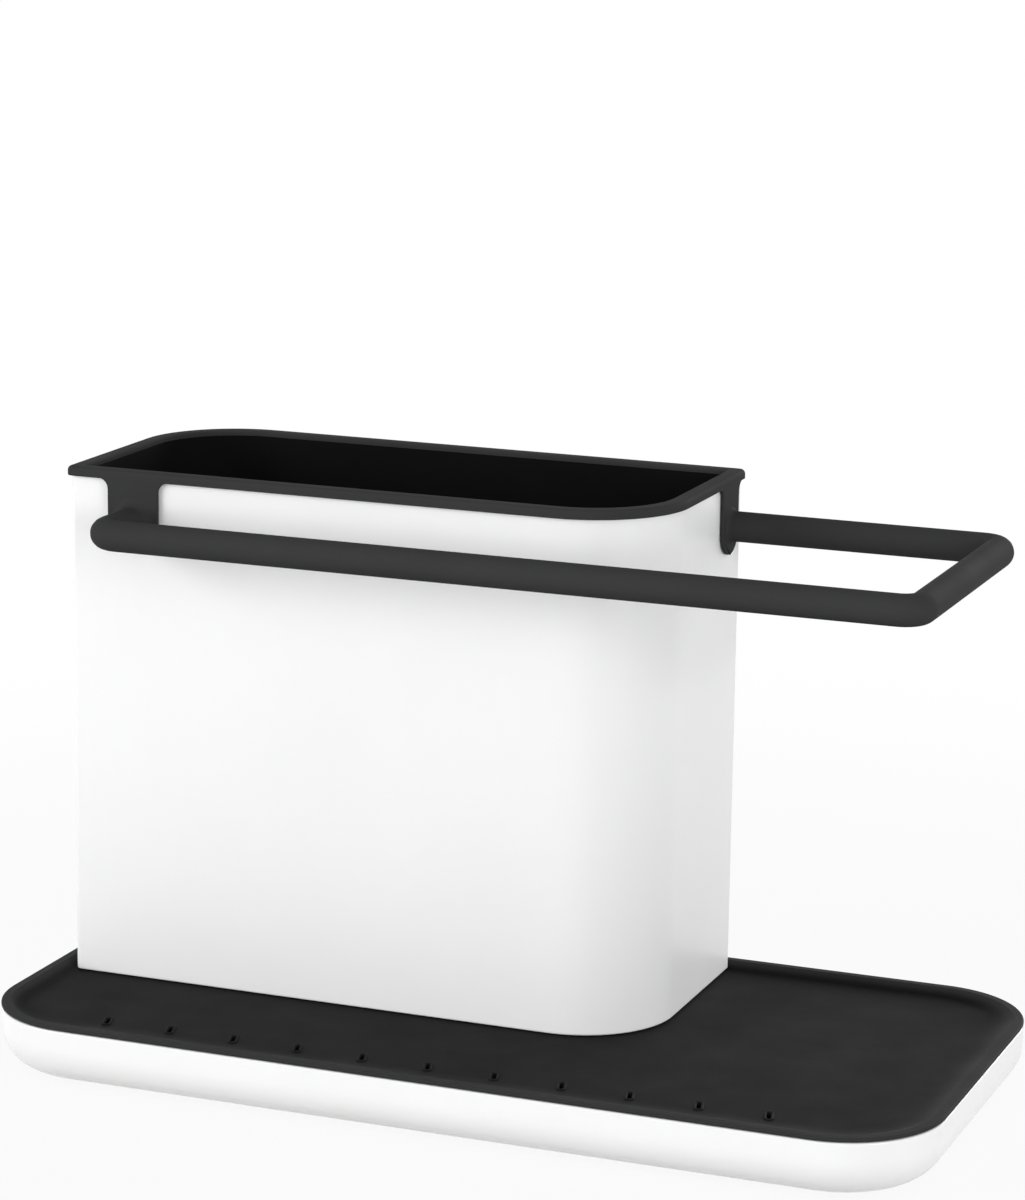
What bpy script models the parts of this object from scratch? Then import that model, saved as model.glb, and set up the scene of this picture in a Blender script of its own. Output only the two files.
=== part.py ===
"""Sink caddy: a drained tray, a tall lined container with a divider, and a rim frame with a towel rail.

Metres, +Z up. The origin is on the surface that the caddy stands on, under the middle of the tray.
The front faces -Y. The container stands at the left and back of the tray, and the right end is free.
"""
import math

import bmesh
import bpy
from mathutils import Matrix, Vector

# The whole caddy's height, and the tray seen from above
CADDY_HEIGHT = 0.1602
TRAY_LENGTH = 0.265
TRAY_WIDTH = 0.132
TRAY_CORNER_R = 0.028

# Heights of the tray's two layers above the surface
FOOT_STAND = 0.0011
BASE_RIM_HEIGHT = 0.0162
BASE_FLOOR = 0.0018
BASE_WALL = 0.0016
BASE_EDGE_R = 0.011
BASE_LIP_R = 0.0004

# Clearances: parts that rest on each other, and parts that lift out of each other
SEAT_GAP = 0.0003
SIDE_GAP = 0.0003

# Drip tray: a flange on the base's rim, a border that dips to a flat floor, and a row of drain slots
FLANGE_THICK = 0.0010
FLANGE_WIDTH = 0.0026
FLANGE_EDGE_R = 0.0005
DRIP_FLOOR = 0.0012
DISH_DEPTH = 0.0024
DISH_RUN_FRONT = 0.0110
DISH_RUN_RIGHT = 0.0110
DISH_RUN_BACK = 0.0003
DISH_RUN_LEFT = 0.0028
DISH_CORNER_FRONT_R = 0.014
DISH_CORNER_RIGHT_R = 0.016
SLOT_PITCH = 0.0187
SLOT_LENGTH = 0.0048
SLOT_WIDTH = 0.0011
SLOT_LEAN = math.radians(16)
SLOT_FROM_FRONT = 0.0159
SLOT_END_MARGIN = 0.022
SLOT_ROW_SHIFT = -0.0039
LOCATING_RIB_THICK = 0.0012
LOCATING_RIB_HEIGHT = 0.0015

# Feet: soft pads pressed into shallow pockets under the base
FOOT_R = 0.007
FOOT_POCKET = 0.0008
FOOT_FROM_END = 0.034
FOOT_FROM_SIDE = 0.028
FOOT_EDGE_R = 0.0003

# Rim frame seen from above; two opposite corners are round and the other two are tight
RIM_LENGTH = 0.1707
RIM_DEPTH = 0.0777
RIM_FROM_TRAY_END = 0.00465
RIM_FROM_TRAY_BACK = 0.0020
RIM_ROUND_R = 0.028
RIM_TIGHT_R = 0.0025
LEAST_R = 0.0012

# Rim frame's section
RIM_PLATE = 0.0016
RIM_LIP = 0.0026
RIM_SKIRT = 0.0010
RIM_WIDTH = 0.0044
RIM_EDGE_R = 0.0007

# Container
CONTAINER_WALL = 0.0016
CONTAINER_FLOOR = 0.0018
CONTAINER_FOOT = 0.0020
CONTAINER_EDGE_R = 0.0004

# Liner and its divider
LINER_WALL = 0.0010
LINER_FLOOR = 0.0012
LINER_EDGE_R = 0.0004
DIVIDER_THICK = 0.0020
DIVIDER_FROM_LEFT = 0.10585
DIVIDER_BELOW_RIM = 0.030
DIVIDER_CORNER_R = 0.008
DIVIDER_GRIP_WIDTH = 0.022
DIVIDER_GRIP_DEPTH = 0.009
GUIDE_THICK = 0.0012
GUIDE_PROUD = 0.0018

# Drain holes in the container's floor and, in line with them, in the liner's
DRAIN_R = 0.0019
DRAIN_PITCH = 0.020
DRAIN_EDGE_MARGIN = 0.0122

# Tabs that carry the rail
LEFT_TAB_WIDTH = 0.0152
RIGHT_TAB_WIDTH = 0.0130
TAB_BELOW_RAIL = 0.0080
TAB_PROUD = 0.0002
TAB_RELIEF = 0.0001
TAB_FILLET_R = 0.0028
LEFT_TAB_FROM_END = 0.0206
RIGHT_TAB_FROM_BACK = 0.0134
RAIL_BELOW_RIM = 0.0138
BOSS_LENGTH = 0.0026
BOSS_ROOT_SHARE = 0.96
SOCKET_WALL = 0.0005
SOCKET_DEPTH = 0.0024

# Towel rail
RAIL_R = 0.0042
RAIL_BEND_R = 0.0050
RAIL_IN_FRONT_OF_RIM = 0.0197
RAIL_BEYOND_RIM = 0.0761

# How finely curves are divided, and how far a cutter runs past a face
QUARTER_STEPS = 10
TIGHT_QUARTER_STEPS = 4
TIGHT_CORNER_R = 0.009
EDGE_STEPS = 6
SMALL_EDGE_STEPS = 2
DISH_STEPS = 4
HOLE_SIDES = 12
FOOT_SIDES = 32
BOSS_SIDES = 28
BOSS_STEPS = 6
RAIL_RESOLUTION = 8
BEND_STEPS = 7
OVERRUN = 0.002
OVERLAP = 0.0002
WELD = 0.000001
SMOOTH_ANGLE = math.radians(35)
FLAT_ANGLE = math.radians(0.5)

# Heights worked out from the sizes above
BASE_RIM_Z = FOOT_STAND + BASE_RIM_HEIGHT
FLANGE_Z = BASE_RIM_Z + SEAT_GAP
DRIP_TOP_Z = FLANGE_Z + FLANGE_THICK
DRIP_FLOOR_Z = DRIP_TOP_Z - DISH_DEPTH
CONTAINER_Z = DRIP_FLOOR_Z + SEAT_GAP
CONTAINER_FLOOR_Z = CONTAINER_Z + CONTAINER_FOOT + CONTAINER_FLOOR
LINER_Z = CONTAINER_FLOOR_Z + SEAT_GAP
LINER_FLOOR_Z = LINER_Z + LINER_FLOOR
RIM_TOP_Z = CADDY_HEIGHT
RIM_UNDER_Z = RIM_TOP_Z - RIM_PLATE
RIM_LIP_Z = RIM_TOP_Z - RIM_LIP
CONTAINER_TOP_Z = RIM_UNDER_Z - SEAT_GAP
RAIL_Z = RIM_TOP_Z - RAIL_BELOW_RIM
DIVIDER_Z = LINER_FLOOR_Z + SEAT_GAP
DIVIDER_TOP_Z = RIM_TOP_Z - DIVIDER_BELOW_RIM

# How far each layer of the container's wall lies inside the rim frame's outer edge
WALL_INSET = RIM_SKIRT + SIDE_GAP
CAVITY_INSET = WALL_INSET + CONTAINER_WALL
LINER_INSET = CAVITY_INSET + SIDE_GAP
BAY_INSET = LINER_INSET + LINER_WALL

# Turns that stand a flat outline up: its first axis runs along X or Y, its second is upright
FACING_FRONT = Matrix(((1, 0, 0, 0), (0, 0, -1, 0), (0, 1, 0, 0), (0, 0, 0, 1)))
FACING_RIGHT = Matrix(((0, 0, 1, 0), (1, 0, 0, 0), (0, 1, 0, 0), (0, 0, 0, 1)))
LYING = Matrix.Identity(4)


# Scene, groups and materials

def clear_scene():
    for leftover in list(bpy.data.objects):
        bpy.data.objects.remove(leftover, do_unlink=True)


def new_group(name):
    group = bpy.data.collections.new(name)
    bpy.context.scene.collection.children.link(group)
    return group


def new_material(name, colour, roughness):
    material = bpy.data.materials.new(name)
    material.use_nodes = True
    shader = material.node_tree.nodes["Principled BSDF"]
    shader.inputs["Base Color"].default_value = (*colour, 1)
    shader.inputs["Roughness"].default_value = roughness
    shader.inputs["Metallic"].default_value = 0
    return material


# Plans: rounded rectangles with a radius for each corner

class Plan:
    """A rounded rectangle seen from above. Its radii run front left, front right, back right, back left."""

    def __init__(self, left, front, right, back, radii):
        self.left = left
        self.front = front
        self.right = right
        self.back = back
        self.radii = radii

    def inset(self, distance):
        radii = [max(radius - distance, LEAST_R) for radius in self.radii]
        low = (self.left + distance, self.front + distance)
        high = (self.right - distance, self.back - distance)
        return Plan(*low, *high, radii)

    def points(self, equal_steps=False):
        """The outline, anticlockwise from the front left corner."""
        corners = (
            (self.left, self.front, 1, 1, 180),
            (self.right, self.front, -1, 1, 270),
            (self.right, self.back, -1, -1, 0),
            (self.left, self.back, 1, -1, 90),
        )
        outline = []
        for (x, y, inward_x, inward_y, start), radius in zip(corners, self.radii):
            steps = QUARTER_STEPS
            if radius < TIGHT_CORNER_R and not equal_steps:
                steps = TIGHT_QUARTER_STEPS
            centre = Vector((x + inward_x * radius, y + inward_y * radius))
            outline += arc(centre, radius, start, start + 90, steps)
        return outline


def arc(centre, radius, start, end, steps):
    """Points of an arc, both ends included. Angles are in degrees."""
    found = []
    for step in range(steps + 1):
        angle = math.radians(start + (end - start) * step / steps)
        found.append((centre[0] + radius * math.cos(angle), centre[1] + radius * math.sin(angle)))
    return found


TRAY_PLAN = Plan(-TRAY_LENGTH / 2, -TRAY_WIDTH / 2, TRAY_LENGTH / 2, TRAY_WIDTH / 2, [TRAY_CORNER_R] * 4)
RIM_LEFT = TRAY_PLAN.left + RIM_FROM_TRAY_END
RIM_BACK = TRAY_PLAN.back - RIM_FROM_TRAY_BACK
RIM_PLAN = Plan(
    RIM_LEFT, RIM_BACK - RIM_DEPTH, RIM_LEFT + RIM_LENGTH, RIM_BACK,
    [RIM_TIGHT_R, RIM_ROUND_R, RIM_TIGHT_R, RIM_ROUND_R],
)
WALL_PLAN = RIM_PLAN.inset(WALL_INSET)
CAVITY_PLAN = RIM_PLAN.inset(CAVITY_INSET)
LINER_PLAN = RIM_PLAN.inset(LINER_INSET)
BAY_PLAN = RIM_PLAN.inset(BAY_INSET)
DIVIDER_X = RIM_LEFT + DIVIDER_FROM_LEFT
LEFT_TAB_X = RIM_LEFT + LEFT_TAB_FROM_END
RIGHT_TAB_Y = RIM_BACK - RIGHT_TAB_FROM_BACK
RAIL_FRONT_Y = RIM_PLAN.front - RAIL_IN_FRONT_OF_RIM
RAIL_RIGHT_X = RIM_PLAN.right + RAIL_BEYOND_RIM


# Making solids

def link_mesh(name, mesh, group):
    piece = bpy.data.objects.new(name, mesh)
    group.objects.link(piece)
    return piece


def mesh_of(holder):
    """The evaluated mesh of an object, with the object itself removed."""
    bpy.context.view_layer.update()
    ready = holder.evaluated_get(bpy.context.evaluated_depsgraph_get())
    mesh = bpy.data.meshes.new_from_object(ready)
    mesh.transform(holder.matrix_world)
    bpy.data.objects.remove(holder, do_unlink=True)
    return mesh


def tidy_mesh(mesh, flatten):
    """Welds the seams between a curve's caps and sides, and joins the triangles of a flat cap."""
    work = bmesh.new()
    work.from_mesh(mesh)
    bmesh.ops.remove_doubles(work, verts=work.verts, dist=WELD)
    if flatten:
        bmesh.ops.dissolve_limit(work, angle_limit=FLAT_ANGLE, verts=work.verts, edges=work.edges)
    bmesh.ops.recalc_face_normals(work, faces=work.faces)
    work.to_mesh(mesh)
    work.free()


def plate(name, outlines, low, high, group, turn=LYING):
    """A plate between two levels, from one outline or from an outline with others inside it as holes."""
    curve = bpy.data.curves.new(name, "CURVE")
    curve.dimensions = "2D"
    curve.fill_mode = "BOTH"
    curve.extrude = (high - low) / 2
    for outline in outlines:
        spline = curve.splines.new("POLY")
        spline.points.add(len(outline) - 1)
        for point, (x, y) in zip(spline.points, outline):
            point.co = (x, y, 0, 1)
        spline.use_cyclic_u = True
    holder = bpy.data.objects.new(name, curve)
    group.objects.link(holder)
    mesh = mesh_of(holder)
    mesh.transform(turn @ Matrix.Translation((0, 0, (low + high) / 2)))
    mesh.name = name
    tidy_mesh(mesh, flatten=len(outlines) == 1)
    return link_mesh(name, mesh, group)


def round_edges(piece, level, radius, steps):
    """Rounds the edge that runs round a piece at one height."""
    work = bmesh.new()
    work.from_mesh(piece.data)
    chosen = [edge for edge in work.edges if all(abs(vert.co.z - level) < WELD for vert in edge.verts)]
    bmesh.ops.bevel(work, geom=chosen, offset=radius, segments=steps, profile=0.5, affect="EDGES")
    work.to_mesh(piece.data)
    work.free()


def cylinder(name, radius, low, high, sides, centres, group, turn=LYING):
    """One upright cylinder at each centre, turned afterwards."""
    work = bmesh.new()
    for x, y in centres:
        place = Matrix.Translation((x, y, (low + high) / 2))
        bmesh.ops.create_cone(
            work, cap_ends=True, segments=sides, radius1=radius, radius2=radius, depth=high - low,
            matrix=turn @ place,
        )
    mesh = bpy.data.meshes.new(name)
    work.to_mesh(mesh)
    work.free()
    return link_mesh(name, mesh, group)


def boxes(name, corners, group):
    """One box for each pair of opposite corners."""
    work = bmesh.new()
    for low, high in corners:
        size = [end - start for start, end in zip(low, high)]
        middle = [(start + end) / 2 for start, end in zip(low, high)]
        place = Matrix.Translation(middle) @ Matrix.Diagonal((*size, 1))
        bmesh.ops.create_cube(work, size=1, matrix=place)
    mesh = bpy.data.meshes.new(name)
    work.to_mesh(mesh)
    work.free()
    return link_mesh(name, mesh, group)


def loft(name, rings, group, band=False):
    """A solid through rings of equally many points: flat faces close its ends, or a band's ends meet."""
    work = bmesh.new()
    rows = [[work.verts.new(point) for point in ring] for ring in rings]
    pairs = list(zip(rows, rows[1:]))
    if band:
        pairs.append((rows[-1], rows[0]))
    else:
        work.faces.new(rows[0][::-1])
        work.faces.new(rows[-1])
    count = len(rings[0])
    for lower, upper in pairs:
        for index in range(count):
            after = (index + 1) % count
            work.faces.new((lower[index], lower[after], upper[after], upper[index]))
    mesh = bpy.data.meshes.new(name)
    work.to_mesh(mesh)
    work.free()
    return link_mesh(name, mesh, group)


def boolean(piece, operand, operation):
    operand.hide_render = True
    operand.display_type = "WIRE"
    change = piece.modifiers.new(operand.name, "BOOLEAN")
    change.operation = operation
    change.solver = "EXACT"
    change.object = operand


def cut(piece, operand):
    boolean(piece, operand, "DIFFERENCE")


def join(piece, operand):
    boolean(piece, operand, "UNION")


def hole_grid(plan):
    """Centres of the drain holes: rows and columns that fill a plan evenly, clear of its walls."""
    inner = plan.inset(DRAIN_EDGE_MARGIN)
    columns = max(int((inner.right - inner.left) / DRAIN_PITCH), 1)
    rows = max(int((inner.back - inner.front) / DRAIN_PITCH), 1)
    centres = []
    for column in range(columns + 1):
        x = inner.left + (inner.right - inner.left) * column / columns
        for row in range(rows + 1):
            y = inner.front + (inner.back - inner.front) * row / rows
            centres.append((x, y))
    return centres


# Base tray and its feet

def foot_centres():
    across = TRAY_LENGTH / 2 - FOOT_FROM_END
    along = TRAY_WIDTH / 2 - FOOT_FROM_SIDE
    return {
        "foot_front_left": (-across, -along),
        "foot_front_right": (across, -along),
        "foot_back_left": (-across, along),
        "foot_back_right": (across, along),
    }


def build_base_tray(parts, cutters):
    base = plate("base_tray", [TRAY_PLAN.points()], FOOT_STAND, BASE_RIM_Z, parts)
    round_edges(base, FOOT_STAND, BASE_EDGE_R, EDGE_STEPS)
    round_edges(base, BASE_RIM_Z, BASE_LIP_R, SMALL_EDGE_STEPS)
    floor_z = FOOT_STAND + BASE_FLOOR
    inner_plan = TRAY_PLAN.inset(BASE_WALL)
    hollow = plate("base_hollow", [inner_plan.points()], floor_z, BASE_RIM_Z + OVERRUN, cutters)
    round_edges(hollow, floor_z, BASE_EDGE_R - BASE_WALL, EDGE_STEPS)
    cut(base, hollow)
    pockets = cylinder(
        "foot_pockets", FOOT_R + SIDE_GAP, FOOT_STAND - OVERRUN, FOOT_STAND + FOOT_POCKET, FOOT_SIDES,
        foot_centres().values(), cutters,
    )
    cut(base, pockets)
    return base


def build_feet(parts):
    top = FOOT_STAND + FOOT_POCKET - SEAT_GAP
    feet = []
    for name, centre in foot_centres().items():
        foot = cylinder(name, FOOT_R, 0, top, FOOT_SIDES, [centre], parts)
        round_edges(foot, 0, FOOT_EDGE_R, SMALL_EDGE_STEPS)
        feet.append(foot)
    return feet


# Drip tray

def dish_ring(share):
    """The dish's edge at a share of the way from its floor, 0, to the flange, 1."""
    flat = 1 - share
    edge = TRAY_PLAN.inset(FLANGE_WIDTH)
    edge_r = edge.radii[0]
    floor_radii = (DISH_CORNER_FRONT_R, DISH_CORNER_FRONT_R, DISH_CORNER_RIGHT_R, edge_r - DISH_RUN_BACK)
    plan = Plan(
        edge.left + DISH_RUN_LEFT * flat,
        edge.front + DISH_RUN_FRONT * flat,
        edge.right - DISH_RUN_RIGHT * flat,
        edge.back - DISH_RUN_BACK * flat,
        [edge_r * share + radius * flat for radius in floor_radii],
    )
    height = DRIP_FLOOR_Z + DISH_DEPTH * share ** 2
    return [(x, y, height) for x, y in plan.points(equal_steps=True)]


def slot_outline(centre):
    """A round-ended slot that runs from front to back and leans to the left at its back."""
    radius = SLOT_WIDTH / 2
    reach = (SLOT_LENGTH / 2 - radius) * Vector((-math.sin(SLOT_LEAN), math.cos(SLOT_LEAN)))
    start = math.degrees(SLOT_LEAN)
    back_end = arc(centre + reach, radius, start, start + 180, TIGHT_QUARTER_STEPS)
    front_end = arc(centre - reach, radius, start + 180, start + 360, TIGHT_QUARTER_STEPS)
    return back_end + front_end


def slot_centres():
    half = int((TRAY_LENGTH / 2 - SLOT_END_MARGIN) / SLOT_PITCH)
    y = TRAY_PLAN.front + SLOT_FROM_FRONT
    return [Vector((SLOT_ROW_SHIFT + SLOT_PITCH * index, y)) for index in range(-half, half + 1)]


def build_drip_tray(parts, cutters):
    tray = plate("drip_tray", [TRAY_PLAN.points()], FLANGE_Z, DRIP_TOP_Z, parts)
    round_edges(tray, DRIP_TOP_Z, FLANGE_EDGE_R, SMALL_EDGE_STEPS)
    under_z = DRIP_FLOOR_Z - DRIP_FLOOR
    body_plan = TRAY_PLAN.inset(BASE_WALL + SIDE_GAP)
    body = plate("drip_tray_body", [body_plan.points()], under_z, FLANGE_Z + OVERLAP, cutters)
    join(tray, body)
    rings = [dish_ring(step / DISH_STEPS) for step in range(DISH_STEPS + 1)]
    rings.append([(x, y, z + OVERRUN) for x, y, z in rings[-1]])
    cut(tray, loft("dish", rings, cutters))
    rib_outer = CAVITY_PLAN.inset(SIDE_GAP)
    rib_inner = rib_outer.inset(LOCATING_RIB_THICK)
    rib = plate(
        "locating_rib", [rib_outer.points(), rib_inner.points()],
        DRIP_FLOOR_Z - OVERLAP, DRIP_FLOOR_Z + LOCATING_RIB_HEIGHT, cutters,
    )
    join(tray, rib)
    slots = [slot_outline(centre) for centre in slot_centres()]
    cut(tray, plate("drain_slots", slots, under_z - OVERRUN, DRIP_FLOOR_Z + OVERRUN, cutters))
    return tray


# Container

def build_container(parts, cutters):
    container = plate("container", [WALL_PLAN.points()], CONTAINER_Z, CONTAINER_TOP_Z, parts)
    round_edges(container, CONTAINER_Z, CONTAINER_EDGE_R, SMALL_EDGE_STEPS)
    cavity = plate("cavity", [CAVITY_PLAN.points()], CONTAINER_FLOOR_Z, CONTAINER_TOP_Z + OVERRUN, cutters)
    cut(container, cavity)
    under = plate(
        "foot_recess", [CAVITY_PLAN.points()], CONTAINER_Z - OVERRUN, CONTAINER_Z + CONTAINER_FOOT, cutters,
    )
    cut(container, under)
    holes = cylinder(
        "container_drains", DRAIN_R, CONTAINER_Z - OVERRUN, CONTAINER_FLOOR_Z + OVERRUN, HOLE_SIDES,
        hole_grid(CAVITY_PLAN), cutters,
    )
    cut(container, holes)
    return container


# Liner and divider

def build_inner_liner(parts, cutters):
    liner = plate("inner_liner", [LINER_PLAN.points()], LINER_Z, CONTAINER_TOP_Z, parts)
    round_edges(liner, LINER_Z, LINER_EDGE_R, SMALL_EDGE_STEPS)
    bay = plate("liner_bay", [BAY_PLAN.points()], LINER_FLOOR_Z, CONTAINER_TOP_Z + OVERRUN, cutters)
    cut(liner, bay)
    holes = cylinder(
        "liner_drains", DRAIN_R, LINER_Z - OVERRUN, LINER_FLOOR_Z + OVERRUN, HOLE_SIDES,
        hole_grid(CAVITY_PLAN), cutters,
    )
    cut(liner, holes)
    guides = []
    for side in (-1, 1):
        centre = DIVIDER_X + side * (DIVIDER_THICK / 2 + SIDE_GAP + GUIDE_THICK / 2)
        for face, inward in ((BAY_PLAN.front, 1), (BAY_PLAN.back, -1)):
            ends = sorted((face - inward * OVERLAP, face + inward * GUIDE_PROUD))
            low = (centre - GUIDE_THICK / 2, ends[0], LINER_FLOOR_Z - OVERLAP)
            high = (centre + GUIDE_THICK / 2, ends[1], DIVIDER_TOP_Z)
            guides.append((low, high))
    join(liner, boxes("divider_guides", guides, cutters))
    return liner


def build_divider(parts):
    """A plate with rounded upper corners and a dip in its top edge to lift it by."""
    front = RIM_PLAN.front + RIM_WIDTH + SIDE_GAP
    back = RIM_PLAN.back - RIM_WIDTH - SIDE_GAP
    middle = (front + back) / 2
    radius = DIVIDER_CORNER_R
    low_corners = [(front, DIVIDER_Z), (back, DIVIDER_Z)]
    back_corner = arc((back - radius, DIVIDER_TOP_Z - radius), radius, 0, 90, QUARTER_STEPS)
    front_corner = arc((front + radius, DIVIDER_TOP_Z - radius), radius, 90, 180, QUARTER_STEPS)
    half = DIVIDER_GRIP_WIDTH / 2
    dip = []
    for step in range(QUARTER_STEPS + 1):
        share = step / QUARTER_STEPS
        fall = DIVIDER_GRIP_DEPTH * (1 - math.cos(math.tau * share)) / 2
        dip.append((middle + half * (1 - 2 * share), DIVIDER_TOP_Z - fall))
    outline = low_corners + back_corner + dip + front_corner
    low = DIVIDER_X - DIVIDER_THICK / 2
    return plate("divider", [outline], low, low + DIVIDER_THICK, parts, FACING_RIGHT)


# Rim frame with its tabs and bosses

def rim_section():
    """The section as (inset, height): up the lip, over the top, down into the opening and back below."""
    radius = RIM_EDGE_R
    level = RIM_TOP_Z - radius
    outer_edge = arc((radius, level), radius, 180, 90, SMALL_EDGE_STEPS)
    inner_edge = arc((RIM_WIDTH - radius, level), radius, 90, 0, SMALL_EDGE_STEPS)
    below = [(RIM_WIDTH, RIM_UNDER_Z), (RIM_SKIRT, RIM_UNDER_Z), (RIM_SKIRT, RIM_LIP_Z)]
    return [(0, RIM_LIP_Z)] + outer_edge + inner_edge + below


def tab_outline(along, width):
    """A hanging tab with a round end below the rail and a fillet each side under the lip."""
    half = width / 2
    fillet = TAB_FILLET_R
    meet = RIM_LIP_Z + OVERLAP
    left = along - half - fillet
    right = along + half + fillet
    left_fillet = arc((left, meet - fillet), fillet, 90, 0, TIGHT_QUARTER_STEPS)
    round_end = arc((along, RAIL_Z - TAB_BELOW_RAIL + half), half, 180, 360, QUARTER_STEPS * 2)
    right_fillet = arc((right, meet - fillet), fillet, 180, 90, TIGHT_QUARTER_STEPS)
    top = [(right, meet + OVERLAP), (left, meet + OVERLAP)]
    return left_fillet + round_end + right_fillet + top


def boss(name, tab_width, place, turn, group):
    """A turned boss whose side flares out to the tab, standing on its local origin."""
    mouth = RAIL_R + SIDE_GAP + SOCKET_WALL
    root = tab_width / 2 * BOSS_ROOT_SHARE
    outline = [(0, BOSS_LENGTH)]
    for step in range(BOSS_STEPS + 1):
        angle = math.pi / 2 * step / BOSS_STEPS
        radius = root - (root - mouth) * math.cos(angle)
        outline.append((radius, BOSS_LENGTH * (1 - math.sin(angle))))
    outline.append((root, -OVERLAP))
    outline.append((0, -OVERLAP))
    work = bmesh.new()
    verts = [work.verts.new((x, 0, z)) for x, z in outline]
    for first, second in zip(verts, verts[1:]):
        work.edges.new((first, second))
    mesh = bpy.data.meshes.new(name)
    work.to_mesh(mesh)
    work.free()
    piece = link_mesh(name, mesh, group)
    turning = piece.modifiers.new("turn", "SCREW")
    turning.steps = BOSS_SIDES
    turning.render_steps = BOSS_SIDES
    turning.use_merge_vertices = True
    turning.merge_threshold = WELD
    piece.location = place
    piece.rotation_euler = turn
    return piece


def build_rim_frame(parts, cutters):
    rings = []
    for inset, height in rim_section():
        outline = RIM_PLAN.inset(inset).points(equal_steps=True)
        rings.append([(x, y, height) for x, y in outline])
    frame = loft("rim_frame", rings, parts, band=True)

    thick = RIM_SKIRT - TAB_RELIEF + TAB_PROUD
    front_face = -RIM_PLAN.front + TAB_PROUD
    front_tab = plate(
        "left_tab", [tab_outline(LEFT_TAB_X, LEFT_TAB_WIDTH)], front_face - thick, front_face, cutters,
        FACING_FRONT,
    )
    join(frame, front_tab)
    right_face = RIM_PLAN.right + TAB_PROUD
    right_tab = plate(
        "right_tab", [tab_outline(RIGHT_TAB_Y, RIGHT_TAB_WIDTH)], right_face - thick, right_face, cutters,
        FACING_RIGHT,
    )
    join(frame, right_tab)

    quarter_turn = math.pi / 2
    front_place = (LEFT_TAB_X, -front_face, RAIL_Z)
    front_boss = boss("left_boss", LEFT_TAB_WIDTH, front_place, (quarter_turn, 0, 0), cutters)
    join(frame, front_boss)
    right_place = (right_face, RIGHT_TAB_Y, RAIL_Z)
    right_boss = boss("right_boss", RIGHT_TAB_WIDTH, right_place, (0, quarter_turn, 0), cutters)
    join(frame, right_boss)

    socket_r = RAIL_R + SIDE_GAP
    floor = BOSS_LENGTH - SOCKET_DEPTH
    front_socket = cylinder(
        "left_socket", socket_r, front_face + floor, front_face + BOSS_LENGTH + OVERRUN, BOSS_SIDES,
        [(LEFT_TAB_X, RAIL_Z)], cutters, FACING_FRONT,
    )
    cut(frame, front_socket)
    right_socket = cylinder(
        "right_socket", socket_r, right_face + floor, right_face + BOSS_LENGTH + OVERRUN, BOSS_SIDES,
        [(RIGHT_TAB_Y, RAIL_Z)], cutters, FACING_RIGHT,
    )
    cut(frame, right_socket)
    return frame


# Towel rail

def rail_route():
    """The centre line, from the left tab along the front and back along the right to the right tab."""
    seat = TAB_PROUD + BOSS_LENGTH - SOCKET_DEPTH + SEAT_GAP
    bend = RAIL_BEND_R
    start = (LEFT_TAB_X, RIM_PLAN.front - seat)
    end = (RIM_PLAN.right + seat, RIGHT_TAB_Y)
    first = arc((LEFT_TAB_X + bend, RAIL_FRONT_Y + bend), bend, 180, 270, BEND_STEPS)
    second = arc((RAIL_RIGHT_X - bend, RAIL_FRONT_Y + bend), bend, 270, 360, BEND_STEPS)
    third = arc((RAIL_RIGHT_X - bend, RIGHT_TAB_Y - bend), bend, 0, 90, BEND_STEPS)
    return [start] + first + second + third + [end]


def build_towel_rail(parts):
    curve = bpy.data.curves.new("towel_rail", "CURVE")
    curve.dimensions = "3D"
    curve.bevel_depth = RAIL_R
    curve.bevel_resolution = RAIL_RESOLUTION
    curve.use_fill_caps = True
    route = rail_route()
    spline = curve.splines.new("POLY")
    spline.points.add(len(route) - 1)
    for point, (x, y) in zip(spline.points, route):
        point.co = (x, y, RAIL_Z, 1)
    rail = bpy.data.objects.new("towel_rail", curve)
    parts.objects.link(rail)
    return rail


# Assembly

def new_seat(name, place, parent, parts):
    """An empty where a moving group sits at rest; the group lifts straight up from it."""
    seat = bpy.data.objects.new(name, None)
    parts.objects.link(seat)
    seat["place"] = place
    seat.location = place
    if parent is not None:
        seat.parent = parent
        seat.location = Vector(place) - Vector(parent["place"])
    return seat


def seat_piece(piece, seat):
    """Hangs a piece on a seat without moving it: its mesh takes up the seat's place."""
    piece.data.transform(Matrix.Translation(-Vector(seat["place"])))
    piece.parent = seat


def finish(piece, material):
    piece.data.materials.clear()
    piece.data.materials.append(material)
    if piece.type == "MESH":
        piece.data.shade_smooth()
        piece.data.set_sharp_from_angle(angle=SMOOTH_ANGLE)


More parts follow.
